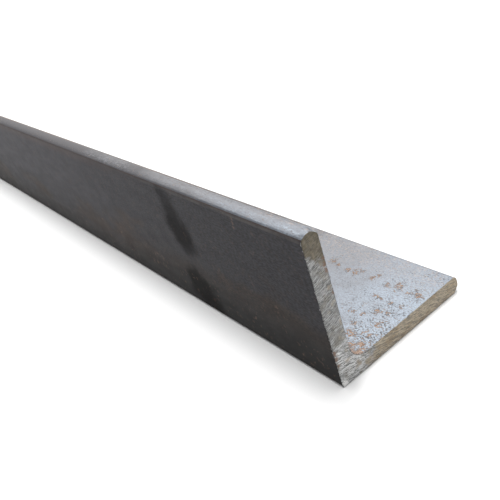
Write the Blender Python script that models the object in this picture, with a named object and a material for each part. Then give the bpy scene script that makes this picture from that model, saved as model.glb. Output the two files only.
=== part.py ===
"""Hot-rolled equal-leg steel angle, one length as it is cut from stock.

Metres, +Z up. The bar runs along X. One leg lies flat along +Y, the other stands up along +Z,
and the heel, where their outer faces meet, is the lower edge at -Y. The origin is at the
middle of the bar's length, under the middle of the flat leg, at floor level.
"""

import math

import bmesh
import bpy
from mathutils import Vector

# Sizes of the rolled section and of the cut length
LENGTH = 1.000
FLAT_LEG = 0.045
UPRIGHT_LEG = 0.045
THICKNESS = 0.005

# Rolled corners, as radii: the fillet in the root, the heel, the gentle crown of each toe,
# and the rounds where that crown meets the leg's inner and outer face
ROOT_RADIUS = 0.005
HEEL_RADIUS = 0.001
TOE_CROWN_RADIUS = 0.0075
TOE_INNER_RADIUS = 0.0013
TOE_OUTER_RADIUS = 0.0008

# A file breaks the edges of the saw cuts by this much, along the bar and across it
CUT_BREAK = 0.0003

# How finely a round is stepped: no chord leaves its arc by more than this
ARC_TOLERANCE = 0.00001

SHARP_ANGLE = math.radians(30)


def arc(centre, radius, start_deg, end_deg):
    """Points along a round, both ends included."""
    sweep = math.radians(end_deg - start_deg)
    step = 2 * math.acos(1 - ARC_TOLERANCE / radius)
    count = math.ceil(abs(sweep) / step)
    points = []
    for i in range(count + 1):
        angle = math.radians(start_deg) + sweep * i / count
        points.append(centre + radius * Vector((math.cos(angle), math.sin(angle))))
    return points


def round_inside_crown(crown_centre, radius, across):
    """Centre of a corner round that touches the crown from inside, and the crown's angle there."""
    reach = TOE_CROWN_RADIUS - radius
    rise = across - crown_centre.y
    centre = Vector((crown_centre.x + math.sqrt(reach**2 - rise**2), across))
    return centre, math.degrees(math.asin(rise / reach))


def toe(leg):
    """The end of a leg, from its outer face to its inner face.

    x runs along the leg from the heel and y across it from the outer face.
    """
    crown_centre = Vector((leg - TOE_CROWN_RADIUS, THICKNESS / 2))
    outer_centre, outer_deg = round_inside_crown(
        crown_centre, TOE_OUTER_RADIUS, TOE_OUTER_RADIUS
    )
    inner_centre, inner_deg = round_inside_crown(
        crown_centre, TOE_INNER_RADIUS, THICKNESS - TOE_INNER_RADIUS
    )
    outline = arc(outer_centre, TOE_OUTER_RADIUS, -90, outer_deg)
    outline += arc(crown_centre, TOE_CROWN_RADIUS, outer_deg, 0)[1:]
    outline += arc(crown_centre, TOE_CROWN_RADIUS, 0, inner_deg)[1:-1]
    outline += arc(inner_centre, TOE_INNER_RADIUS, inner_deg, 90)
    return outline


def section_outline():
    """The rolled section in Y and Z, anticlockwise, measured from its sharp heel corner."""
    heel = Vector((HEEL_RADIUS, HEEL_RADIUS))
    root = Vector((1, 1)) * (THICKNESS + ROOT_RADIUS)
    outline = arc(heel, HEEL_RADIUS, 180, 270)
    outline += toe(FLAT_LEG)
    outline += arc(root, ROOT_RADIUS, 270, 180)
    outline += [point.yx for point in reversed(toe(UPRIGHT_LEG))]
    return outline


def break_cut_edges(bm, end_face):
    """Narrows the end face and draws it out by as much, which leaves a chamfer round it."""
    bmesh.ops.inset_region(
        bm,
        faces=[end_face],
        thickness=CUT_BREAK,
        depth=CUT_BREAK,
        use_boundary=True,
        use_even_offset=True,
    )


def steel_angle_mesh():
    """The section drawn out along X, with the edges of both saw cuts broken."""
    half_run = LENGTH / 2 - CUT_BREAK
    heel_y = -FLAT_LEG / 2
    bm = bmesh.new()
    ring = [bm.verts.new((-half_run, heel_y + p.x, p.y)) for p in section_outline()]
    start = bm.faces.new(ring)
    drawn = bmesh.ops.extrude_face_region(bm, geom=[start])
    moved = [item for item in drawn["geom"] if isinstance(item, bmesh.types.BMVert)]
    bmesh.ops.translate(bm, verts=moved, vec=(2 * half_run, 0, 0))
    bmesh.ops.recalc_face_normals(bm, faces=bm.faces)
    for end_face in [face for face in bm.faces if len(face.verts) == len(ring)]:
        break_cut_edges(bm, end_face)
    mesh = bpy.data.meshes.new("steel_angle")
    bm.to_mesh(mesh)
    bm.free()
    mesh.shade_smooth()
    mesh.set_sharp_from_angle(angle=SHARP_ANGLE)
    return mesh


def mill_scale_steel():
    """Hot-rolled steel under its blue-grey mill scale."""
    material = bpy.data.materials.new("mill_scale_steel")
    material.use_nodes = True
    shader = material.node_tree.nodes["Principled BSDF"]
    shader.inputs["Base Color"].default_value = (0.115, 0.120, 0.130, 1.0)
    shader.inputs["Metallic"].default_value = 0.7
    shader.inputs["Roughness"].default_value = 0.5
    return material


def clear_scene():
    for obj in list(bpy.data.objects):
        bpy.data.objects.remove(obj)


def build():
    clear_scene()
    angle = bpy.data.objects.new("steel_angle", steel_angle_mesh())
    angle.data.materials.append(mill_scale_steel())
    bpy.context.scene.collection.objects.link(angle)


build()
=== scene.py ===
"""Steel angle on a pale floor: the rolled bar with its saw cuts, mill scale and rust, under soft light."""

import math

import bpy
from mathutils import Matrix, Vector


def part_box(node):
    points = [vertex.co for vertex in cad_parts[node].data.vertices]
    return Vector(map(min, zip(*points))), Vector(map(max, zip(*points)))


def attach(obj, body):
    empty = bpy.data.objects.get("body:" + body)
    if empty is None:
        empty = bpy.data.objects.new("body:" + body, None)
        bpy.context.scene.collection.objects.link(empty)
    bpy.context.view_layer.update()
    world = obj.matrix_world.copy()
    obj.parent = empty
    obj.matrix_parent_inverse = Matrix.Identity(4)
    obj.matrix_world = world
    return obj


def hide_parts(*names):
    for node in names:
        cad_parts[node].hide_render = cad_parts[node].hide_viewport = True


bl_info = {
    "name": "Steel Angle",
    "version": (1, 0, 0),
    "blender": (4, 5, 0),
    "location": "View3D > Sidebar > Steel Angle",
    "description": "Builds a hot-rolled steel angle, its finishes and its studio",
    "category": "Object",
}

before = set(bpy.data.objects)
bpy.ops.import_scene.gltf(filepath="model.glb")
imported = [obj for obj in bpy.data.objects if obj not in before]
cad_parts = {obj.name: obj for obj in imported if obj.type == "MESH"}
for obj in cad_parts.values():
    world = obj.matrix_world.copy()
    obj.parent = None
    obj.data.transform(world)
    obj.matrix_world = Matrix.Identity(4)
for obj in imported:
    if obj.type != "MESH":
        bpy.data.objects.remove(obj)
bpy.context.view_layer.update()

MM = 0.001
NODE = "steel_angle"
LOW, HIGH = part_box(NODE)
HALF_RUN = HIGH.x
HEEL_Y = LOW.y
LEG = HIGH.z

# How high the upright leg's tip is in mm, the unit that the finishes measure in
TIP = LEG / MM

# How finely the mesh follows the section: each toe round, each bend, each leg and its thickness
TOE_STEPS = 8
BEND_STEPS = 20
LEG_CUTS = 199
THICKNESS_CUTS = 24

# Rings along the bar: close together at the saw cuts, wide apart between them
FIRST_RING = 0.25 * MM
RING_GROWTH = 1.5
WIDEST_RING = 40 * MM

# The saw ran one way through the upright leg and another through the heel and the flat leg.
# The lines' slope is in degrees, and one turns into the other between these heights.
UPRIGHT_SAW = 14
FLAT_SAW = -14
SAW_CHANGE = (9 * MM, 15 * MM)

# How coarse each relief is, in mm: the faces' sway, the saw's ridges and the nicks in a rim
SWAY_GRAIN = 70
RIDGE_GRAIN = 0.42
NICK_GRAIN = 1.1

# Faces no further in than this are outer ones: it is the middle of the toes' outer rounds
OUTER_REACH = 0.17 * MM

# Faces that meet at a greater angle than this keep a sharp edge
SMOOTH_ANGLE = math.radians(35)

# How wide each soft light is, in degrees, and the way its light travels
TOP_SPREAD = 22
TOP_COURSE = (0.07, -0.035, -1)
BACK_SPREAD = 45
BACK_COURSE = (0.62, -0.42, -0.66)

# The room's walls shine fully up to one steepness of view and end at the other: 0 is level, 1 straight up
WALLS_FULL = 0.15
WALLS_END = 0.32

# The camera's sensor in mm, which its focal length goes with
SENSOR_WIDTH = 36

# Rust blots on the flat leg's inner face, in mm: from the front cut, from the heel, radius
RUST_BLOTS = (
    (35.9, 33.4, 1.6), (33.0, 32.6, 1.3), (28.9, 32.2, 1.4), (25.6, 32.9, 2.2), (23.9, 33.6, 1.3),
    (19.5, 32.7, 1.4), (18.4, 34.4, 1.0), (13.7, 32.5, 1.8), (10.8, 33.9, 1.7), (9.6, 33.0, 1.2),
    (10.0, 31.2, 1.1), (6.0, 32.6, 1.3), (3.3, 33.3, 1.7), (5.3, 34.9, 1.1), (1.6, 33.0, 1.0),
    (13.7, 26.9, 1.0), (12.4, 27.0, 1.0), (11.2, 27.0, 1.0), (7.8, 26.7, 1.2), (3.8, 27.2, 1.1),
    (8.3, 22.5, 1.4), (5.5, 23.3, 1.1), (14.2, 19.3, 1.5), (13.4, 22.7, 0.8), (10.8, 19.5, 1.0),
    (4.5, 18.9, 1.4), (3.4, 18.0, 0.8), (10.3, 15.6, 1.2), (8.0, 12.5, 1.7), (9.8, 11.8, 1.1),
    (3.6, 14.1, 0.9), (5.4, 14.6, 0.8), (3.0, 10.9, 1.1), (5.1, 9.5, 1.1), (1.0, 6.7, 1.7),
    (2.6, 6.4, 1.7), (4.2, 6.5, 1.3), (1.4, 8.2, 1.1), (5.8, 7.6, 1.2),
)

# How far noise pushes the outlines of these blots to either side, in mm
SWIRL = 1.5

# Rust spots on the rim of the front cut and the bright chip at its heel, in mm: from the heel, up, radius
RIM_SPOTS = (
    (0.3, 11.4, 1.3), (0.3, 9.6, 1.1), (0.4, 7.4, 1.0),
    (4.6, 37.0, 1.0), (4.6, 35.4, 1.1), (4.7, 33.6, 1.2), (4.8, 27.5, 1.2),
)
HEEL_CHIP = (1.1, 0.8, 1.7)

# A frosty patch on the upright leg's toe, in mm: from the front cut, from the outer face, radius
FROST = ((90, 3, 11), (101, 3, 12), (112, 3, 9))

# Marks on the upright leg's outer face, in mm: from the front cut, up from the floor, radius
BAND_MARKS = (
    (62.5, 42.5, 4.5), (61, 39, 6), (60.8, 35.5, 6.2), (60.8, 32.5, 7.2), (60.3, 29.8, 8.6),
    (59.3, 27.3, 8.4), (61, 9.3, 8), (59.6, 7, 10), (57.3, 3.6, 9.5), (55.5, 1, 7),
)
DARK_SCRATCH = ((28.4, 28.4, 0.9), (27.9, 27.0, 0.9), (27.3, 25.6, 0.9), (26.8, 24.2, 0.8))
RUST_SCRATCH = ((26.2, 43.0, 0.9), (26.4, 41.6, 0.9), (26.7, 40.2, 0.7))
RUST_PATCH = ((43.5, 17.4, 5), (40.5, 16, 5), (37, 15, 4))

# The side that a table of marks is seen from, as the number of the axis that its places leave out
FROM_THE_END, FROM_THE_SIDE, FROM_ABOVE = 0, 1, 2

# Sockets of the Mix node, which share their names: what is mixed and what comes out
FACTOR = 0
VALUE_A, VALUE_B, MIXED_VALUE = 2, 3, 0
COLOUR_A, COLOUR_B, MIXED_COLOUR = 6, 7, 2

# How far each seed moves along the noise on the three axes
SEED_STEP = (37, 19, 11)


def length(name, description, metres):
    """A length that a user can change."""
    return bpy.props.FloatProperty(name=name, description=description, default=metres, unit="LENGTH")


def tilt(name, description, degrees):
    """An angle that a user can change."""
    return bpy.props.FloatProperty(
        name=name, description=description, default=math.radians(degrees), subtype="ANGLE"
    )


def amount(name, description, default):
    """A plain number that a user can change."""
    return bpy.props.FloatProperty(name=name, description=description, default=default)


def linear(code):
    """An sRGB hex colour as linear RGBA."""
    values = [int(code[i : i + 2], 16) / 255 for i in (1, 3, 5)]
    return [v / 12.92 if v <= 0.04045 else ((v + 0.055) / 1.055) ** 2.4 for v in values] + [1.0]


def shade(name, description, code):
    """A colour that a user can change; its default is an sRGB hex value."""
    return bpy.props.FloatVectorProperty(
        name=name, description=description, default=linear(code), size=4, min=0, max=1, subtype="COLOR"
    )


class AngleSizes(bpy.types.PropertyGroup):
    """Sizes of the rolled section and of its saw cuts"""

    thickness: length("Thickness", "How thick both legs are", 5 * MM)
    root_radius: length("Root radius", "Fillet where the inner faces meet", 5 * MM)
    heel_radius: length("Heel radius", "Round where the outer faces meet", 1 * MM)
    toe_crown: length("Toe crown", "Radius of the gentle swell of each toe", 7.5 * MM)
    toe_inner: length("Inner toe round", "Round from toe to inner face", 1.3 * MM)
    toe_outer: length("Outer toe round", "Round from toe to outer face", 0.8 * MM)
    cut_break: length("Broken edge", "How far the rim of a saw cut is worn back", 0.2 * MM)
    toe_wear: length("Toe wear", "How far a toe's corner is knocked back at a cut", 0.45 * MM)
    saw_depth: length("Saw mark depth", "Height of the ridges that the saw left", 0.14 * MM)
    rim_nicks: length("Rim nicks", "How deep the dents in the rim of a saw cut are", 0.4 * MM)
    sway: length("Sway", "How far the rolled faces sink along the bar", 0.06 * MM)


class AngleColours(bpy.types.PropertyGroup):
    """Colours of the finishes"""

    # Also paints the painted shade on the upright toe
    dark_scale: shade("Dark scale", "Dense mill scale on the outer faces", "#2B2A30")
    # Painted sheen that lightens the far part of the dark scale
    dust: shade("Dust", "Fine dust on the far part of the dark scale", "#4D4B50")
    bloom: shade("Brown bloom", "Thin brown bloom on the dark scale", "#4A372A")
    # Near black for the dark band, grain, scratches and dirt, and for painted shade low on the dark face and
    # along the heel
    smudge: shade("Smudge", "Oily smudges on the dark scale", "#0C0A0A")
    corner: shade("Toe corner", "Brown line along the toe's outer corner", "#39312F")
    pale_scale: shade("Pale scale", "Thin blue-grey mill scale on inner faces and toes", "#7D858F")
    # Bluer, cleaner scale near the cut, painted lighter there as a painted sheen as well
    fresh_scale: shade("Fresh scale", "Cleaner, bluer pale scale near the cut", "#909BA6")
    pale_grain: shade("Pale grain", "Grain in the pale scale", "#50545C")
    film: shade("Film", "Dull warm film far from the cut", "#4F4D4F")
    rust: shade("Rust", "Light rust in the breaks of the scale", "#9A8575")
    rust_dark: shade("Dark rust", "Older rust in the middle of a blot", "#6E5546")
    # Also paints the painted shade along the rims of the breaks in the pale scale
    speck: shade("Specks", "Pits and broken scale", "#4A4542")
    sawn: shade("Sawn steel", "Bare steel on the saw's ridges", "#C8C9C9")
    # Darker steel, partly painted shade in the saw's grooves
    valley: shade("Saw valleys", "Darker steel between the ridges", "#50504F")
    khaki: shade("Khaki stain", "Dull stain on the far parts of the cut", "#5D533E")
    # Bare steel of burrs and chips, painted brighter than the sawn face as their highlight
    bright: shade("Bright steel", "Fresh burrs and chips on the rim of a cut", "#D8D8D6")
    flat_stain: shade("Flat leg stain", "Paler stain on the flat leg's cut", "#B3A48A")
    red_brown: shade("Red-brown stain", "Rust stain on the flat leg's cut", "#867050")
    floor: shade("Floor", "Pale studio floor", "#F0F0F0")


class StudioSettings(bpy.types.PropertyGroup):
    """The camera's place and the light"""

    lens: bpy.props.FloatProperty(name="Lens", description="Focal length", default=46.23, unit="CAMERA")
    beyond: length("Beyond the cut", "How far past the sawn end the camera is", 97.0 * MM)
    aside: length("Out from the leg", "How far out from the upright leg it is", 64.4 * MM)
    height: length("Height", "How far above the floor it is", 115.0 * MM)
    heading: tilt("Heading", "Turn from +Y towards -X", 64.06)
    dip: tilt("Dip", "How far the camera looks down", 31.56)
    roll: tilt("Roll", "How far the camera leans", -20.47)
    frame_shift: amount("Frame shift", "Shift of the frame, as a share of its width", 0.036)
    top_light: amount("Top light", "Strength of the soft light overhead", 2.7)
    back_light: amount("Back light", "Strength of the soft light behind", 2.0)
    room_light: amount("Room light", "Strength of the room's own light", 0.45)
    horizon_light: amount("Horizon light", "Strength of the white walls, low all round", 1.0)
    floor_size: length("Floor size", "Width of the floor", 30)


def add_node(tree, kind, inputs, out=0, **settings):
    """Adds a shader node, sets or links its inputs, and gives back one of its outputs."""
    node = tree.nodes.new("ShaderNode" + kind)
    for name, value in settings.items():
        setattr(node, name, value)
    for socket, value in inputs.items():
        if isinstance(value, bpy.types.NodeSocket):
            tree.links.new(value, node.inputs[socket])
        else:
            node.inputs[socket].default_value = value
    return node.outputs[out]


def millimetres(tree):
    """The place on the bar in mm: along it from the front cut, across from the heel, and up."""
    where = add_node(tree, "TexCoord", {}, "Object")
    return add_node(
        tree,
        "Mapping",
        {"Vector": where, "Location": (HALF_RUN / MM, -HEEL_Y / MM, 0), "Scale": (-1 / MM, 1 / MM, 1 / MM)},
    )


def between(tree, value, low, high):
    """A smooth step from 0 at low to 1 at high; low may be the larger."""
    if low < high:
        ends = {"From Min": low, "From Max": high, "To Min": 0.0, "To Max": 1.0}
    else:
        ends = {"From Min": high, "From Max": low, "To Min": 1.0, "To Max": 0.0}
    return add_node(tree, "MapRange", {"Value": value, **ends}, interpolation_type="SMOOTHSTEP")


def rescale(tree, value, low, high):
    """Stretches 0 to 1 onto low to high."""
    return add_node(tree, "MapRange", {"Value": value, "To Min": low, "To Max": high})


def mottle(tree, place, grain, low, high, stretch=(1, 1, 1), slope=0, seed=0, detail=2.0):
    """Patches about grain mm wide: 0 where the noise is below low, 1 above high.

    stretch lengthens them, slope tilts them in the plane of the cut, in degrees, and each seed gives others.
    """
    cells = add_node(
        tree,
        "Mapping",
        {
            "Vector": place,
            "Location": [seed * step for step in SEED_STEP],
            "Rotation": (math.radians(slope), 0, 0),
            "Scale": [grain * s for s in stretch],
        },
        vector_type="TEXTURE",
    )
    noise = add_node(tree, "TexNoise", {"Vector": cells, "Scale": 1.0, "Detail": detail, "Roughness": 0.55})
    return between(tree, noise, low, high)


def along(tree, place, weights, base=0.0):
    """base plus the weighted sum of the three places, each in mm."""
    product = add_node(tree, "VectorMath", {0: place, 1: weights}, "Value", operation="DOT_PRODUCT")
    return add_node(tree, "Math", {0: product, 1: base}, operation="ADD")


def combine(tree, how, *values):
    """Adds or multiplies several values, or takes their largest or smallest."""
    total = values[0]
    for value in values[1:]:
        total = add_node(tree, "Math", {0: total, 1: value}, operation=how)
    return total


def ruffled(tree, value, noise, reach):
    """The value moved by up to reach to either side: down where the noise is 0, and up where it is 1."""
    return combine(tree, "ADD", value, rescale(tree, noise, -reach, reach))


def blots(tree, place, marks, side):
    """1 in the middle of each mark, falling to 0 at its rim.

    A mark is its two places in mm, as seen from that side, and its radius.
    """
    spots = []
    for mark in marks:
        *centre, radius = (*mark[:side], 0, *mark[side:])
        apart = add_node(tree, "VectorMath", {0: place, 1: centre}, "Value", operation="DISTANCE")
        spots.append(add_node(tree, "MapRange", {"Value": apart, "From Min": radius, "From Max": 0.0}))
    return combine(tree, "MAXIMUM", *spots)


def paint(tree, under, over, mask, most=1):
    """Lays one colour over another by the mask, and covers no more of it than most."""
    if most != 1:
        mask = rescale(tree, mask, 0, most)
    sockets = {FACTOR: mask, COLOUR_A: under, COLOUR_B: over}
    return add_node(tree, "Mix", sockets, MIXED_COLOUR, data_type="RGBA", clamp_factor=True)


def finish(name, build):
    """A material whose colour, roughness, metallic share and relief come from build."""
    material = bpy.data.materials.new(name)
    material.use_nodes = True
    tree = material.node_tree
    shader = tree.nodes["Principled BSDF"]
    for socket, value in build(tree, bpy.context.scene.angle_colours).items():
        if isinstance(value, bpy.types.NodeSocket):
            tree.links.new(value, shader.inputs[socket])
        else:
            shader.inputs[socket].default_value = value
    return material


def burrs(tree, place):
    """Spots where the rim of either cut is torn to bare steel, painted bright partly as a highlight: 1 on
    them, 0 elsewhere.
    """
    from_front = along(tree, place, (1, 0, 0))
    from_back = along(tree, place, (-1, 0, 0), 2 * HALF_RUN / MM)
    from_rim = combine(tree, "MINIMUM", from_front, from_back)
    torn = mottle(tree, place, 0.9, 0.4, 0.65, seed=12, detail=3)
    return between(tree, ruffled(tree, from_rim, torn, -0.5), 0.2, 0.0)


def oily_smudge(tree, place):
    """The dark slanting band on the upright leg's outer face: two uneven patches, which fade towards the
    toe.
    """
    height = along(tree, place, (0, 0, 1))
    wander = mottle(tree, place, 5, 0.2, 0.8, seed=1, detail=4)
    marks = ruffled(tree, blots(tree, place, BAND_MARKS, FROM_THE_SIDE), wander, 0.16)
    fade = rescale(tree, between(tree, height, 46, 28), 0.45, 1)
    return combine(tree, "MULTIPLY", between(tree, marks, 0.0, 0.7), fade)


def scratch(tree, place, marks):
    """A scratch with torn edges, along a row of marks on the upright leg's outer face."""
    torn = mottle(tree, place, 0.6, 0.2, 0.8, seed=8)
    return ruffled(tree, blots(tree, place, marks, FROM_THE_SIDE), torn, 0.35)


def rusty_scratches(tree, place, low_down):
    """Small rusty scratches, mostly low down, and a longer one near the cut."""
    small = combine(
        tree,
        "MULTIPLY",
        mottle(tree, place, 0.9, 0.58, 0.74, stretch=(1.3, 1, 1.5), seed=4),
        mottle(tree, place, 11, 0.42, 0.58, seed=5),
        rescale(tree, low_down, 0.35, 1),
    )
    long_one = between(tree, scratch(tree, place, RUST_SCRATCH), 0.3, 0.6)
    return combine(tree, "MAXIMUM", small, long_one)


def dark_mill_scale(tree, colours):
    """Dense iron oxide from the rolling heat: nearly black and dull, with a weak sheen at a low angle.

    Handling leaves brown bloom low on the face. The face is also painted darker towards the floor and along
    the heel as painted shade, and a dark band crosses it in two patches.
    """
    place = millimetres(tree)
    height = along(tree, place, (0, 0, 1))
    from_cut = along(tree, place, (1, 0, 0))

    # Brown bloom in long soft clouds on the lower half of the face, and lower still further back
    clouds = mottle(tree, place, 14, 0.38, 0.66, stretch=(2.2, 1, 1), detail=4)
    sunk = rescale(tree, between(tree, from_cut, 70, 180), 0, 8)
    level = combine(tree, "ADD", height, rescale(tree, clouds, 5, -6), sunk)
    low_down = between(tree, level, 26, 12)
    bloom = combine(tree, "MULTIPLY", low_down, rescale(tree, clouds, 0.45, 1))
    colour = paint(tree, colours.dark_scale, colours.bloom, bloom)

    # A rusty patch beside the oily smudge
    rusty_patch = blots(tree, place, RUST_PATCH, FROM_THE_SIDE)
    rusty_patch = ruffled(tree, rusty_patch, mottle(tree, place, 1.6, 0.3, 0.7, seed=10, detail=4), 0.4)
    colour = paint(tree, colour, colours.bloom, between(tree, rusty_patch, 0.1, 0.8), 0.6)

    # Painted sheen: the far part is painted a lighter grey
    colour = paint(tree, colour, colours.dust, between(tree, from_cut, 90, 380), 0.35)

    # Painted shade: the face is painted darker towards the floor, less so further back, and darkest in a
    # band along the heel, a painted contact shadow
    low_shade = combine(
        tree,
        "MULTIPLY",
        between(tree, ruffled(tree, height, clouds, -4), 30, 5),
        rescale(tree, between(tree, from_cut, 110, 60), 0.66, 1),
    )
    colour = paint(tree, colour, colours.smudge, low_shade)
    # Painted contact shadow along the heel
    heel = between(tree, ruffled(tree, height, clouds, -1.5), 13, 0.8)
    colour = paint(tree, colour, colours.smudge, heel, 0.95)

    # The dark band, whose lower patch is the darker one
    band_mask = oily_smudge(tree, place)
    darker_band = combine(tree, "MULTIPLY", band_mask, rescale(tree, between(tree, height, 20, 12), 0.85, 1))
    colour = paint(tree, colour, colours.smudge, darker_band)

    # Grain of the scale, drawn out along the rolling direction, and coarser than life so that it shows
    grain = mottle(tree, place, 0.5, 0.3, 0.7, stretch=(2.2, 1, 1), seed=3, detail=5)
    near = rescale(tree, between(tree, from_cut, 170, 50), 0.15, 0.85)
    colour = paint(tree, colour, colours.smudge, combine(tree, "MULTIPLY", rescale(tree, grain, 1, 0), near))

    # Rusty scratches, and a dark one near the cut
    scratches = rusty_scratches(tree, place, low_down)
    colour = paint(tree, colour, colours.rust_dark, scratches, 0.34)
    dark_one = between(tree, scratch(tree, place, DARK_SCRATCH), 0.25, 0.6)
    colour = paint(tree, colour, colours.smudge, dark_one, 0.6)

    # Just below the toe the face is chafed paler near the cut, and is warmer further back
    chafed = combine(
        tree,
        "MULTIPLY",
        between(tree, height, TIP - 2.0, TIP - 1.5),
        between(tree, from_cut, 110, 40),
        rescale(tree, mottle(tree, place, 1.2, 0.4, 0.6, stretch=(3, 1, 1), seed=9, detail=4), 0.3, 1),
    )
    colour = paint(tree, colour, colours.speck, chafed, 0.6)
    warm = combine(
        tree, "MULTIPLY", between(tree, height, TIP - 5, TIP - 1.5), between(tree, from_cut, 60, 140)
    )
    colour = paint(tree, colour, colours.rust_dark, warm, 0.14)

    # A thin brown line follows the toe's outer corner, and bright burr spots the rim of both cuts, bare
    # steel painted partly as a highlight
    corner = combine(
        tree,
        "MULTIPLY",
        between(tree, height, TIP - 1.15, TIP - 0.8),
        rescale(tree, mottle(tree, place, 1.5, 0.35, 0.6, stretch=(3, 1, 1), seed=6), 0.4, 1),
    )
    colour = paint(tree, colour, colours.corner, corner)
    colour = paint(tree, colour, colours.bright, burrs(tree, place), 0.25)

    # The grain stands up, the scratches are cut in, and the dark band is the dullest part
    relief = combine(tree, "ADD", grain, rescale(tree, scratches, 0, -1))
    patchy = mottle(tree, place, 3, 0.3, 0.7, stretch=(2, 1, 1), seed=7, detail=4)
    return {
        "Base Color": colour,
        "Roughness": combine(tree, "ADD", rescale(tree, patchy, 0.58, 0.63), rescale(tree, band_mask, 0, 0.25)),
        "Specular IOR Level": 0.18,
        "Normal": add_node(tree, "Bump", {"Height": relief, "Strength": 0.25, "Distance": 0.02 * MM}),
    }


def seen_from_above(tree, place):
    """The same place with its height left out."""
    return add_node(tree, "VectorMath", {0: place, 1: (1, 1, 0)}, operation="MULTIPLY")


def dull_film(tree, place, toe, coarse, cloud):
    """The film over the pale scale: more of it away from the cut and towards the flat leg's toe.

    It is thin on the frosty patch of the upright toe.
    """
    from_cut = along(tree, place, (1, 0, 0))
    across = along(tree, place, (0, 1, 0))
    reach = combine(tree, "MULTIPLY", from_cut, rescale(tree, toe, 1, 0.8))
    film = between(tree, ruffled(tree, reach, cloud, 12), -15, 90)
    outside = combine(
        tree,
        "MULTIPLY",
        between(tree, across, 28, 42),
        between(tree, ruffled(tree, from_cut, cloud, 9), 2, 50),
    )
    film = combine(tree, "MAXIMUM", film, rescale(tree, outside, 0, 0.45))
    frosty = blots(tree, seen_from_above(tree, place), FROST, FROM_ABOVE)
    frosty = combine(tree, "MULTIPLY", frosty, toe, coarse)
    return combine(tree, "MULTIPLY", film, rescale(tree, frosty, 1, 0.6))


def scale_breaks(tree, place, toe):
    """Where the pale scale has broken: light rust, older rust inside it, and the pits round it, with painted
    shade along the rims.

    It breaks more towards the cut and the heel, and most in the root.
    """
    across = along(tree, place, (0, 1, 0))
    near_cut = between(tree, along(tree, place, (1, 0, 0)), 24, 0)
    low_down = between(tree, along(tree, place, (0, 0, 1)), 20, 10)
    broken = combine(tree, "MULTIPLY", near_cut, between(tree, across, 36, 8), low_down)
    rooted = combine(tree, "MULTIPLY", near_cut, between(tree, across, 15, 8), low_down)

    # Blots whose outlines noise pushes about
    flat = seen_from_above(tree, place)
    swirl = add_node(tree, "TexNoise", {"Vector": flat, "Scale": 0.8, "Detail": 2.0}, "Color")
    pushed = {0: swirl, 1: (2 * SWIRL, 2 * SWIRL, 0), 2: flat}
    swirled = add_node(tree, "VectorMath", pushed, operation="MULTIPLY_ADD")
    swirled = add_node(tree, "VectorMath", {0: swirled, 1: (SWIRL, SWIRL, 0)}, operation="SUBTRACT")
    field = blots(tree, swirled, RUST_BLOTS, FROM_ABOVE)
    likely = combine(
        tree,
        "ADD",
        mottle(tree, place, 0.42, 0.0, 1.0, stretch=(1.3, 0.8, 1), seed=2, detail=4),
        rescale(tree, field, 0, 0.34),
        rescale(tree, broken, 0, 0.08),
        rescale(tree, rooted, 0, 0.12),
    )
    rusted = between(tree, likely, 0.735, 0.785)
    # Painted shade: a dark rim round each blot, where the broken edge of the scale shades it
    rim = between(tree, likely, 0.685, 0.72)
    old = combine(tree, "MULTIPLY", rusted, mottle(tree, place, 0.45, 0.44, 0.56, seed=3))

    # Pits come in clusters, and more of them where the scale breaks
    clusters = mottle(tree, place, 2.2, 0.44, 0.6, stretch=(1.4, 1, 1), seed=7, detail=3)
    pits = combine(
        tree,
        "ADD",
        mottle(tree, place, 0.5, 0.0, 1.0, stretch=(1.2, 0.8, 1), seed=4, detail=4),
        rescale(tree, clusters, -0.13, 0.02),
        rescale(tree, near_cut, 0, 0.06),
        rescale(tree, broken, 0, 0.05),
        rescale(tree, rooted, 0, 0.07),
        rescale(tree, field, 0, 0.16),
        rescale(tree, toe, 0, -0.06),
    )
    return rusted, old, combine(tree, "MAXIMUM", between(tree, pits, 0.66, 0.7), rim)


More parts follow.
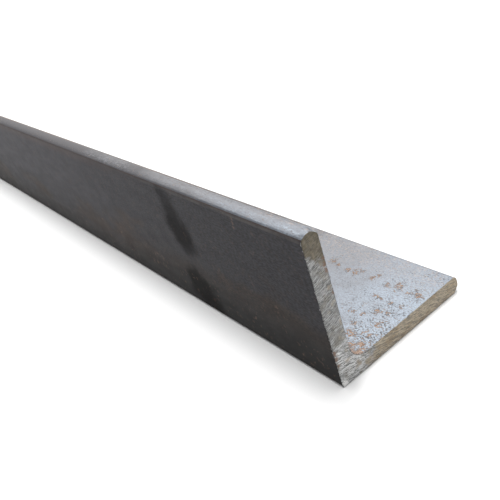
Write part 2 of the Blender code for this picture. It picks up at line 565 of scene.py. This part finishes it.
def pale_mill_scale(tree, colours):
    """Thin blue-grey scale that the rolls left smooth: a little metallic, with a fine sparkle and a sheen.

    It has broken in blots near the cut, where light rust shows, and a dull film covers it further back.
    """
    place = millimetres(tree)
    from_cut = along(tree, place, (1, 0, 0))
    across = along(tree, place, (0, 1, 0))
    toe = between(tree, along(tree, place, (0, 0, 1)), TIP - 3, TIP - 1)

    # Grain of the scale, drawn out a little along the bar, and coarser than life so that it shows
    grain = mottle(tree, place, 0.35, 0.3, 0.7, stretch=(1.6, 1, 1), detail=3)
    coarse = mottle(tree, place, 0.7, 0.3, 0.7, stretch=(1.6, 1, 1), seed=6, detail=3)
    cloud = mottle(tree, place, 6, 0.3, 0.7, stretch=(2, 1, 1), seed=1, detail=4)

    # Fresher and bluer near the cut, and painted lighter there as a painted sheen, but less so on the flat
    # leg's toe and on the inner half of the upright one
    fresh_and_sheen = combine(
        tree,
        "MULTIPLY",
        between(tree, ruffled(tree, from_cut, cloud, 7), 34, 3),
        rescale(tree, between(tree, across, 43, 30), 0.45, 1),
        rescale(tree, combine(tree, "MULTIPLY", toe, between(tree, across, 1.8, 3.2)), 1, 0.25),
    )
    colour = paint(tree, colours.pale_scale, colours.fresh_scale, fresh_and_sheen)

    # Darker between the grains, on the upright toe between frosty flecks, and in soft clouds
    colour = paint(tree, colour, colours.pale_grain, rescale(tree, grain, 0.6, 0))
    frost = mottle(tree, place, 0.9, 0.38, 0.6, stretch=(3.5, 0.8, 1), seed=9, detail=4)
    worn = combine(tree, "MULTIPLY", toe, rescale(tree, combine(tree, "MULTIPLY", coarse, frost), 0.66, 0))
    colour = paint(tree, colour, colours.pale_grain, worn)
    colour = paint(tree, colour, colours.pale_grain, rescale(tree, cloud, 0.3, 0))

    # A dull film, and beyond the clean part rust that blooms under it in long patches
    film = dull_film(tree, place, toe, coarse, cloud)
    colour = paint(tree, colour, colours.film, film)
    under_film = combine(
        tree,
        "MULTIPLY",
        mottle(tree, place, 26, 0.46, 0.68, stretch=(3.5, 1, 1), seed=8, detail=5),
        between(tree, from_cut, 70, 200),
        rescale(tree, toe, 1, 0.2),
    )
    colour = paint(tree, colour, colours.rust_dark, under_film, 0.45)

    # Painted shade: the upright toe is painted darker towards its outer corner, where its round turns from
    # the light, and darker further back, and its inner side is duller
    shaded = combine(
        tree,
        "MULTIPLY",
        toe,
        between(tree, ruffled(tree, across, coarse, 0.5), 2.9, 0.5),
        rescale(tree, between(tree, from_cut, 10, 60), 0.12, 0.62),
    )
    far_toe = combine(tree, "MULTIPLY", toe, between(tree, from_cut, 40, 120))
    shaded = combine(tree, "MAXIMUM", shaded, rescale(tree, far_toe, 0, 0.2))
    colour = paint(tree, colour, colours.dark_scale, shaded)
    inner_side = combine(
        tree, "MULTIPLY", toe, between(tree, across, 1.6, 3.4), between(tree, from_cut, 0, 15)
    )
    colour = paint(tree, colour, colours.film, inner_side, 0.42)

    # Light rust in fine specks, near the flat leg's toe and along the inner side of the upright one
    toe_line = combine(
        tree, "MULTIPLY", toe, between(tree, across, 2.6, 3.6), between(tree, from_cut, 26, 12)
    )
    tan_specks = combine(
        tree,
        "MULTIPLY",
        mottle(tree, place, 0.45, 0.48, 0.66, stretch=(2, 1, 1), seed=5, detail=4),
        combine(tree, "MAXIMUM", between(tree, across, 30, 42), toe_line),
    )
    colour = paint(tree, colour, colours.rust, tan_specks, 0.4)

    # Pits, with painted shade along the rims of the breaks, light rust in the breaks of the scale, and older
    # rust in that
    rusted, old, pits_and_rim_shade = scale_breaks(tree, place, toe)
    colour = paint(tree, colour, colours.speck, pits_and_rim_shade, 0.76)
    colour = paint(tree, colour, colours.rust, rusted)
    colour = paint(tree, colour, colours.rust_dark, old, 0.85)

    # Breaks and film are dull, and the breaks lie lower than the scale
    dull = combine(tree, "MAXIMUM", rusted, pits_and_rim_shade)
    rough = combine(
        tree,
        "MAXIMUM",
        rescale(tree, dull, 0, 0.85),
        rescale(tree, film, 0, 0.65),
        rescale(tree, combine(tree, "MULTIPLY", film, toe), 0, 0.76),
        rescale(tree, grain, 0.34, 0.46),
    )
    relief = combine(tree, "ADD", rescale(tree, grain, 0, 0.35), rescale(tree, dull, 0, -1))
    return {
        "Base Color": colour,
        "Metallic": rescale(tree, combine(tree, "MAXIMUM", dull, film), 0.3, 0),
        "Roughness": rough,
        "Normal": add_node(tree, "Bump", {"Height": relief, "Strength": 0.5, "Distance": 0.05 * MM}),
    }


def sawn_steel(tree, colours):
    """Bare steel as the saw left it: bright torn lines with darker steel between them, partly painted shade
    in the grooves.

    Coolant has dried to a khaki stain on the upright toe, and the flat leg's cut has begun to rust.
    """
    place = millimetres(tree)
    height = along(tree, place, (0, 0, 1))
    across = along(tree, place, (0, 1, 0))
    cloud = mottle(tree, place, 2.6, 0.3, 0.7, seed=2, detail=4)

    # Saw lines about a quarter of a millimetre apart, with finer scratches along them
    change = between(tree, height, SAW_CHANGE[0] / MM, SAW_CHANGE[1] / MM)
    flat_lines, upright_lines = [
        combine(
            tree,
            "ADD",
            mottle(tree, place, 0.27, 0.3, 0.7, stretch=(1, 9, 1), slope=slope, detail=3),
            mottle(tree, place, 0.14, 0.3, 0.7, stretch=(1, 5, 1), slope=slope, seed=1, detail=3),
        )
        for slope in (FLAT_SAW, UPRIGHT_SAW)
    ]
    sockets = {FACTOR: change, VALUE_A: flat_lines, VALUE_B: upright_lines}
    streaks = add_node(tree, "Mix", sockets, MIXED_VALUE, data_type="FLOAT")
    streaks = add_node(tree, "MapRange", {"Value": streaks, "From Min": 0.35, "From Max": 1.65})
    # Darker steel in the valleys between the ridges, partly painted shade in the grooves
    colour = paint(tree, colours.valley, colours.sawn, streaks)

    # Brightest at the heel and duller along both legs, 4 mm sooner along the flat one
    from_heel = combine(tree, "MAXIMUM", height, along(tree, place, (0, 1, 0), 4))
    dull = between(tree, ruffled(tree, from_heel, cloud, 3), 9, 15)
    colour = paint(tree, colour, colours.valley, dull, 0.53)

    # The upright toe is khaki up from a slanting edge, with grime on it, and faint khaki lies elsewhere
    slanting = along(tree, place, (0, 0.9, 1), -2.2)
    toe = between(tree, ruffled(tree, slanting, cloud, 1.6), 36.5, 39)
    faint = rescale(tree, mottle(tree, place, 3.5, 0.5, 0.7, seed=5, detail=3), 0, 0.4)
    khaki = combine(tree, "MAXIMUM", toe, faint)
    colour = paint(tree, colour, colours.khaki, khaki, 0.8)
    grimy = combine(tree, "MULTIPLY", toe, mottle(tree, place, 1.1, 0.44, 0.6, seed=6, detail=4))
    colour = paint(tree, colour, colours.smudge, grimy, 0.3)

    # The flat leg has a paler stain with red-brown patches, and its valleys stay dark, partly as painted
    # shade
    leg = between(tree, ruffled(tree, across, cloud, 6), 5, 16)
    patches = mottle(tree, place, 2.2, 0.48, 0.62, stretch=(1, 2.2, 1), seed=3, detail=4)
    red = combine(tree, "MULTIPLY", leg, patches)
    scored = combine(tree, "MULTIPLY", leg, rescale(tree, streaks, 0.75, -0.15))
    colour = paint(tree, colour, colours.flat_stain, leg, 0.75)
    colour = paint(tree, colour, colours.red_brown, red, 0.55)
    colour = paint(tree, colour, colours.valley, scored)

    # Rust spots on the rim, and a bright chip at the heel, bare steel with a painted highlight
    torn = mottle(tree, place, 0.5, 0.2, 0.8, seed=4)
    spots = ruffled(tree, blots(tree, place, RIM_SPOTS, FROM_THE_END), torn, 0.4)
    spotted = between(tree, spots, 0.35, 0.6)
    colour = paint(tree, colour, colours.rust_dark, spotted, 0.8)
    chip = ruffled(tree, blots(tree, place, [HEEL_CHIP], FROM_THE_END), torn, 0.3)
    colour = paint(tree, colour, colours.bright, between(tree, chip, 0.3, 0.55))

    stained = combine(tree, "MAXIMUM", khaki, leg, red, spotted)
    return {
        "Base Color": colour,
        "Metallic": rescale(tree, stained, 0.8, 0.35),
        "Roughness": rescale(tree, stained, 0.38, 0.6),
        "Normal": add_node(tree, "Bump", {"Height": streaks, "Strength": 0.9, "Distance": 0.05 * MM}),
    }


def edit(obj):
    """Starts edit mode on this object alone, with nothing in it selected."""
    bpy.ops.object.select_all(action="DESELECT")
    obj.select_set(True)
    bpy.context.view_layer.objects.active = obj
    bpy.ops.object.mode_set(mode="EDIT")
    bpy.ops.mesh.select_all(action="DESELECT")


def select(obj, kind, test):
    """In edit mode, selects the vertices, edges or faces that pass the test."""
    modes = {"vertices": "VERT", "edges": "EDGE", "polygons": "FACE"}
    bpy.ops.mesh.select_mode(type=modes[kind])
    bpy.ops.mesh.select_all(action="DESELECT")
    bpy.ops.object.mode_set(mode="OBJECT")
    for item in getattr(obj.data, kind):
        item.select = test(item)
    bpy.ops.object.mode_set(mode="EDIT")


def pen_at(across, up):
    """Puts the outline's first point down, measured from the heel."""
    bpy.ops.mesh.select_all(action="DESELECT")
    bpy.ops.mesh.primitive_plane_add(size=MM, location=(-HALF_RUN, HEEL_Y + across, up))
    bpy.ops.mesh.merge(type="CENTER")


def straight(across, up):
    """Draws the outline straight on."""
    bpy.ops.mesh.extrude_region_move(TRANSFORM_OT_translate={"value": (0, across, up)})


def bend(across, up, degrees, steps):
    """Carries the outline round a centre, measured from the heel."""
    bpy.ops.mesh.spin(
        steps=steps, angle=math.radians(degrees), center=(-HALF_RUN, HEEL_Y + across, up), axis=(1, 0, 0)
    )


def toe_round(sizes, radius):
    """How far a corner round's centre lies behind the toe's tip, and the crown's angle where they meet."""
    reach = sizes.toe_crown - radius
    rise = sizes.thickness / 2 - radius
    return sizes.toe_crown - math.sqrt(reach**2 - rise**2), math.asin(rise / reach)


def rail(sizes, level, side, toe_radius, bend_centre):
    """Draws one side of the section from toe to toe: the outer faces for side 1, the inner ones for -1."""
    back, crown_angle = toe_round(sizes, toe_radius)
    centre = level + side * toe_radius
    sweep = side * (90 - math.degrees(crown_angle))
    run = LEG - back - bend_centre
    pen_at(
        LEG - back + toe_radius * math.cos(crown_angle),
        centre - side * toe_radius * math.sin(crown_angle),
    )
    bend(LEG - back, centre, sweep, TOE_STEPS)
    straight(-run, 0)
    bend(bend_centre, bend_centre, 90, BEND_STEPS)
    straight(0, run)
    bend(centre, LEG - back, sweep, TOE_STEPS)


def push_at(obj, place, move, reach, falloff):
    """In edit mode, moves the vertex nearest a place, and the ones within reach less and less."""
    bpy.ops.object.mode_set(mode="OBJECT")
    nearest = min(obj.data.vertices, key=lambda v: (v.co - Vector(place)).length).index
    bpy.ops.object.mode_set(mode="EDIT")
    select(obj, "vertices", lambda v: v.index == nearest)
    bpy.ops.transform.translate(
        value=move, use_proportional_edit=True, proportional_edit_falloff=falloff, proportional_size=reach
    )


def swell_toes(obj, sizes):
    """Pushes the middle of both toes out to the crown, with less push towards their corners."""
    corners = []
    for radius, side in ((sizes.toe_outer, -1), (sizes.toe_inner, 1)):
        angle = toe_round(sizes, radius)[1]
        tip = LEG - sizes.toe_crown * (1 - math.cos(angle))
        corners.append(Vector((tip, sizes.thickness / 2 + side * sizes.toe_crown * math.sin(angle))))
    middle = (corners[0] + corners[1]) / 2
    half_chord = (corners[1] - corners[0]).length / 2
    off = middle.y - sizes.thickness / 2
    push = LEG - sizes.toe_crown + math.sqrt(sizes.toe_crown**2 - off**2) - middle.x
    push_at(obj, (-HALF_RUN, HEEL_Y + middle.x, middle.y), (0, push, 0), half_chord, "INVERSE_SQUARE")
    push_at(obj, (-HALF_RUN, HEEL_Y + middle.y, middle.x), (0, 0, push), half_chord, "INVERSE_SQUARE")


def ring_steps():
    """Distances from ring to ring along the whole bar."""
    steps = [FIRST_RING]
    while steps[-1] * RING_GROWTH < WIDEST_RING:
        steps.append(steps[-1] * RING_GROWTH)
    middle = 2 * HALF_RUN - 2 * sum(steps)
    count = math.ceil(middle / WIDEST_RING)
    return steps + [middle / count] * count + steps[::-1]


def edge_length(obj, edge):
    """How long one edge of the object's mesh is."""
    a, b = (obj.data.vertices[i].co for i in edge.vertices)
    return (a - b).length


def drawn_bar(sizes):
    """The section, drawn in straight runs and rounds and filled with a fine grid, extruded along the bar."""
    t = sizes.thickness
    bpy.ops.object.select_all(action="DESELECT")
    bpy.ops.mesh.primitive_plane_add(size=MM, location=(0, 0, 0))
    obj = bpy.context.object
    obj.name = obj.data.name = "angle_bar"
    edit(obj)
    bpy.ops.mesh.select_all(action="SELECT")
    bpy.ops.mesh.delete(type="VERT")
    rail(sizes, 0, 1, sizes.toe_outer, sizes.heel_radius)
    rail(sizes, t, -1, sizes.toe_inner, t + sizes.root_radius)
    select(obj, "edges", lambda e: edge_length(obj, e) > LEG / 2)
    bpy.ops.mesh.subdivide(number_cuts=LEG_CUTS)
    bpy.ops.mesh.select_all(action="SELECT")
    bpy.ops.mesh.bridge_edge_loops(type="SINGLE", number_cuts=THICKNESS_CUTS, interpolation="LINEAR")
    swell_toes(obj, sizes)
    bpy.ops.mesh.select_mode(type="FACE")
    bpy.ops.mesh.select_all(action="SELECT")
    for step in ring_steps():
        bpy.ops.mesh.extrude_region_move(TRANSFORM_OT_translate={"value": (step, 0, 0)})
    bpy.ops.mesh.select_all(action="SELECT")
    bpy.ops.mesh.normals_make_consistent(inside=False)
    bpy.ops.object.mode_set(mode="OBJECT")
    return obj


def is_cut(face):
    """Whether a face belongs to a saw cut, and so looks along the bar."""
    return abs(face.normal.x) > 0.5


def is_outer(face):
    """Whether a face belongs to the outer faces, up to the middle of the toes' outer rounds."""
    return not is_cut(face) and min(face.center.y - HEEL_Y, face.center.z) < OUTER_REACH


def share_out_finishes(obj):
    """Gives the outer faces and the saw cuts their own finish, and all the rest the pale scale."""
    for made in (pale_mill_scale, dark_mill_scale, sawn_steel):
        obj.data.materials.append(finish(made.__name__, made))
    for slot, test in ((1, is_outer), (2, is_cut)):
        edit(obj)
        select(obj, "polygons", test)
        obj.active_material_index = slot
        bpy.ops.object.material_slot_assign()
        bpy.ops.object.mode_set(mode="OBJECT")


def wear_rims(obj, sizes):
    """Pulls the rim of both cuts back along the bar, and names it as a group for the nicks."""
    for end in (-1, 1):
        edit(obj)
        select(obj, "polygons", lambda f: is_cut(f) and f.center.x * end > 0)
        bpy.ops.mesh.region_to_loop()
        bpy.ops.mesh.select_mode(type="VERT")
        bpy.ops.transform.translate(value=(-end * sizes.cut_break, 0, 0))
        bpy.ops.object.vertex_group_assign_new()
        obj.vertex_groups.active.name = f"rim {end}"
        bpy.ops.object.mode_set(mode="OBJECT")


def wear_toes(obj, sizes):
    """Knocks corners rounder at both saw cuts: the upright toe's two and the flat toe's lower one."""
    edit(obj)
    wear = sizes.toe_wear
    reach = 4 * wear
    for end in (-HALF_RUN, HALF_RUN):
        push_at(obj, (end, HEEL_Y + sizes.thickness, LEG), (0, -wear / 2, -wear), reach, "SMOOTH")
        push_at(obj, (end, HEEL_Y, LEG), (0, wear / 2, -wear / 2), reach, "SMOOTH")
        push_at(obj, (end, HEEL_Y + LEG, 0), (0, -wear, wear), reach, "SMOOTH")
    bpy.ops.object.mode_set(mode="OBJECT")


def press(obj, name, group, grain, depth, direction, slope=0, stretch=(1, 1, 1), contrast=1, lift=1):
    """Presses a relief of grain mm into a group of vertices, by a Displace modifier that is applied.

    With no group it goes into them all.
    """
    bpy.ops.object.empty_add(location=(0, 0, 0), rotation=(math.radians(slope), 0, 0))
    grid = bpy.context.object
    grid.scale = [grain * MM * s for s in stretch]
    bpy.context.view_layer.update()
    texture = bpy.data.textures.new(name, "CLOUDS")
    texture.noise_scale = 1
    texture.noise_depth = 2
    texture.contrast = contrast
    texture.intensity = lift
    bpy.ops.object.select_all(action="DESELECT")
    obj.select_set(True)
    bpy.context.view_layer.objects.active = obj
    bpy.ops.object.modifier_add(type="DISPLACE")
    modifier = obj.modifiers[-1]
    modifier.name = name
    modifier.texture = texture
    modifier.texture_coords = "OBJECT"
    modifier.texture_coords_object = grid
    modifier.vertex_group = group
    modifier.direction = direction
    modifier.mid_level = 0
    modifier.strength = depth
    bpy.ops.object.modifier_apply(modifier=name)
    bpy.data.objects.remove(grid)
    bpy.data.textures.remove(texture)


def group_by(obj, name, weigh):
    """A vertex group whose weights come from each vertex's place."""
    group = obj.vertex_groups.new(name=name)
    for vertex in obj.data.vertices:
        weight = weigh(vertex.co)
        if weight > 0:
            group.add([vertex.index], weight, "REPLACE")
    return name


def upright_share(place):
    """How much of the saw's lines at a place run as on the upright leg: 0 low down, 1 above the change."""
    low, high = SAW_CHANGE
    return min(max((place.z - low) / (high - low), 0), 1)


def rough_up(obj, sizes):
    """Saw lines and nicks at both ends, and a slight sway of the rolled faces, all of it inwards."""
    press(obj, "sway", "", SWAY_GRAIN, -sizes.sway, "NORMAL", stretch=(1.4, 0.4, 0.4))

    # The vertices of a cut and of its worn rim all lie beyond this, and the next ring doesn't
    just_behind_rim = HALF_RUN - 1.2 * sizes.cut_break
    for end in (-1, 1):
        for slope, share in (
            (UPRIGHT_SAW, upright_share),
            (FLAT_SAW, lambda p: 1 - upright_share(p)),
        ):
            name = f"saw {end} {slope}"
            group_by(obj, name, lambda p: share(p) if p.x * end > just_behind_rim else 0)
            press(obj, name, name, RIDGE_GRAIN, -end * sizes.saw_depth, "X", slope=slope, stretch=(1, 18, 1))
        rim = f"rim {end}"
        press(obj, rim, rim, NICK_GRAIN, -end * sizes.rim_nicks, "X", contrast=2.4, lift=0.75)
    obj.vertex_groups.clear()


class STEEL_ANGLE_OT_bar(bpy.types.Operator):
    """Builds the steel angle with its saw cuts and finishes"""

    bl_idname = "steel_angle.bar"
    bl_label = "Steel angle"

    def execute(self, context):
        sizes = context.scene.angle_sizes
        obj = drawn_bar(sizes)
        share_out_finishes(obj)
        wear_rims(obj, sizes)
        wear_toes(obj, sizes)
        rough_up(obj, sizes)
        bpy.ops.object.shade_smooth_by_angle(angle=SMOOTH_ANGLE)
        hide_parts(NODE)
        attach(obj, "root")
        return {"FINISHED"}


def matt_floor(tree, colours):
    """Matt painted board: even, pale and without gloss."""
    return {
        "Base Color": colours.floor,
        "Roughness": 1.0,
        "Specular IOR Level": 0.0,
    }


def lay_floor(studio):
    """The pale floor that the bar lies on."""
    bpy.ops.object.select_all(action="DESELECT")
    bpy.ops.mesh.primitive_plane_add(size=studio.floor_size, location=(0, 0, 0))
    floor = bpy.context.object
    floor.name = floor.data.name = "studio_floor"
    floor.data.materials.append(finish("matt_floor", matt_floor))


def soft_sun(name, strength, spread, towards):
    """A sun as wide as a studio softbox. towards is the way its light travels."""
    bpy.ops.object.light_add(type="SUN", location=(0, 0, 1))
    sun = bpy.context.object
    sun.name = sun.data.name = name
    sun.rotation_euler = Vector(towards).to_track_quat("-Z", "Y").to_euler()
    sun.data.energy = strength
    sun.data.angle = math.radians(spread)


def light_room(scene, studio):
    """A white room whose walls shine low all round, more than what is above them."""
    scene.world = bpy.data.worlds.new("room")
    scene.world.use_nodes = True
    tree = scene.world.node_tree
    room = tree.nodes["Background"]
    room.inputs["Color"].default_value = (1, 1, 1, 1)
    steepness = along(tree, add_node(tree, "TexCoord", {}, "Generated"), (0, 0, 1))
    walls = between(tree, steepness, WALLS_END, WALLS_FULL)
    strength = rescale(tree, walls, studio.room_light, studio.horizon_light)
    tree.links.new(strength, room.inputs["Strength"])
    scene.view_settings.view_transform = "Standard"


def aim_camera(scene, studio):
    """The camera in front of the sawn end, where it looks down along the bar."""
    bpy.ops.object.camera_add()
    camera = bpy.context.object
    place = Matrix.Translation((HALF_RUN + studio.beyond, HEEL_Y - studio.aside, studio.height))
    turn = Matrix.Rotation(studio.heading, 4, "Z") @ Matrix.Rotation(math.pi / 2 - studio.dip, 4, "X")
    camera.matrix_world = place @ turn @ Matrix.Rotation(studio.roll, 4, "Z")
    camera.data.sensor_width = SENSOR_WIDTH
    camera.data.lens = studio.lens
    camera.data.shift_x = camera.data.shift_y = studio.frame_shift
    camera.data.clip_start = 1 * MM
    scene.camera = camera


class STEEL_ANGLE_OT_studio(bpy.types.Operator):
    """Sets up the floor, the soft light and the camera"""

    bl_idname = "steel_angle.studio"
    bl_label = "Studio"

    def execute(self, context):
        studio = context.scene.angle_studio
        lay_floor(studio)
        soft_sun("top_light", studio.top_light, TOP_SPREAD, TOP_COURSE)
        soft_sun("back_light", studio.back_light, BACK_SPREAD, BACK_COURSE)
        light_room(context.scene, studio)
        aim_camera(context.scene, studio)
        return {"FINISHED"}


class STEEL_ANGLE_PT_panel(bpy.types.Panel):
    """Lists the operators and the sizes and colours that they use"""

    bl_idname = "STEEL_ANGLE_PT_panel"
    bl_label = "Steel Angle"
    bl_space_type = "VIEW_3D"
    bl_region_type = "UI"
    bl_category = "Steel Angle"

    def draw(self, context):
        for group in (context.scene.angle_sizes, context.scene.angle_colours, context.scene.angle_studio):
            box = self.layout.box()
            for name in group.bl_rna.properties.keys():
                if name not in ("rna_type", "name"):
                    box.prop(group, name)
        self.layout.operator(STEEL_ANGLE_OT_bar.bl_idname)
        self.layout.operator(STEEL_ANGLE_OT_studio.bl_idname)


CLASSES = (
    AngleSizes,
    AngleColours,
    StudioSettings,
    STEEL_ANGLE_OT_bar,
    STEEL_ANGLE_OT_studio,
    STEEL_ANGLE_PT_panel,
)


def register():
    for cls in CLASSES:
        bpy.utils.register_class(cls)
    bpy.types.Scene.angle_sizes = bpy.props.PointerProperty(type=AngleSizes)
    bpy.types.Scene.angle_colours = bpy.props.PointerProperty(type=AngleColours)
    bpy.types.Scene.angle_studio = bpy.props.PointerProperty(type=StudioSettings)


def unregister():
    del bpy.types.Scene.angle_sizes
    del bpy.types.Scene.angle_colours
    del bpy.types.Scene.angle_studio
    for cls in reversed(CLASSES):
        bpy.utils.unregister_class(cls)


def main():
    register()
    bpy.ops.steel_angle.bar()
    bpy.ops.steel_angle.studio()


if __name__ == "__main__":
    main()
